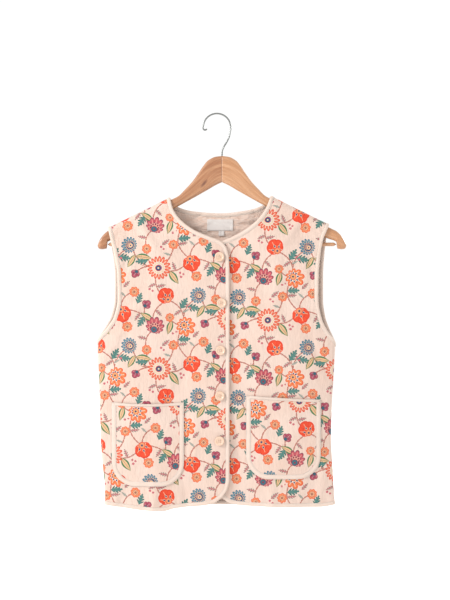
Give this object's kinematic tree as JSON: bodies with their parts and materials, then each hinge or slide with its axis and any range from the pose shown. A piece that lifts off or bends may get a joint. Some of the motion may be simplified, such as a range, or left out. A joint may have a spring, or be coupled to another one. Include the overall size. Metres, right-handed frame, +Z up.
{
  "type": "sleeveless buttoned waistcoat on a wooden hanger",
  "caption": "Sleeveless cotton waistcoat with bound edges and rounded patch pockets, buttoned to the neck, hanging on a wooden hanger with a wire hook.",
  "frame": {"origin": "the highest point inside the hook, where the wire rests on a peg or rail", "axes": "+Z up, the front faces -Y, +X to the right of a viewer who looks at the front"},
  "size_m": [0.4452, 0.047, 0.7121],
  "materials": {
    "printed_cotton": "cream cotton printed with flowers, matt",
    "cotton_gauze": "pinkish beige crinkled lining, matt",
    "bias_binding": "cream cotton, matt",
    "woven_label": "white woven tape, bare",
    "button_plastic": "peach, turned, half gloss",
    "arm_wood_dark": "clear lacquer on warm brown wood with a knot",
    "arm_wood_light": "clear lacquer on warm light wood",
    "hook_wire": "bright steel wire"
  },
  "bodies": {
    "root": {"front_over": "printed_cotton", "front_under": "printed_cotton", "back": "printed_cotton", "back_lining": "cotton_gauze", "edge_binding": "bias_binding", "armhole_binding_left": "bias_binding", "armhole_binding_right": "bias_binding", "pocket_left": "printed_cotton", "pocket_right": "printed_cotton", "pocket_binding_left": "bias_binding", "pocket_binding_right": "bias_binding", "neck_label": "woven_label", "size_tab": "woven_label", "button_1": "button_plastic", "button_2": "button_plastic", "button_3": "button_plastic", "button_4": "button_plastic", "button_5": "button_plastic", "hanger_arm_left": "arm_wood_dark", "hanger_arm_right": "arm_wood_light", "trouser_bar": "arm_wood_light", "hook": "hook_wire"}
  },
  "joints": []
}
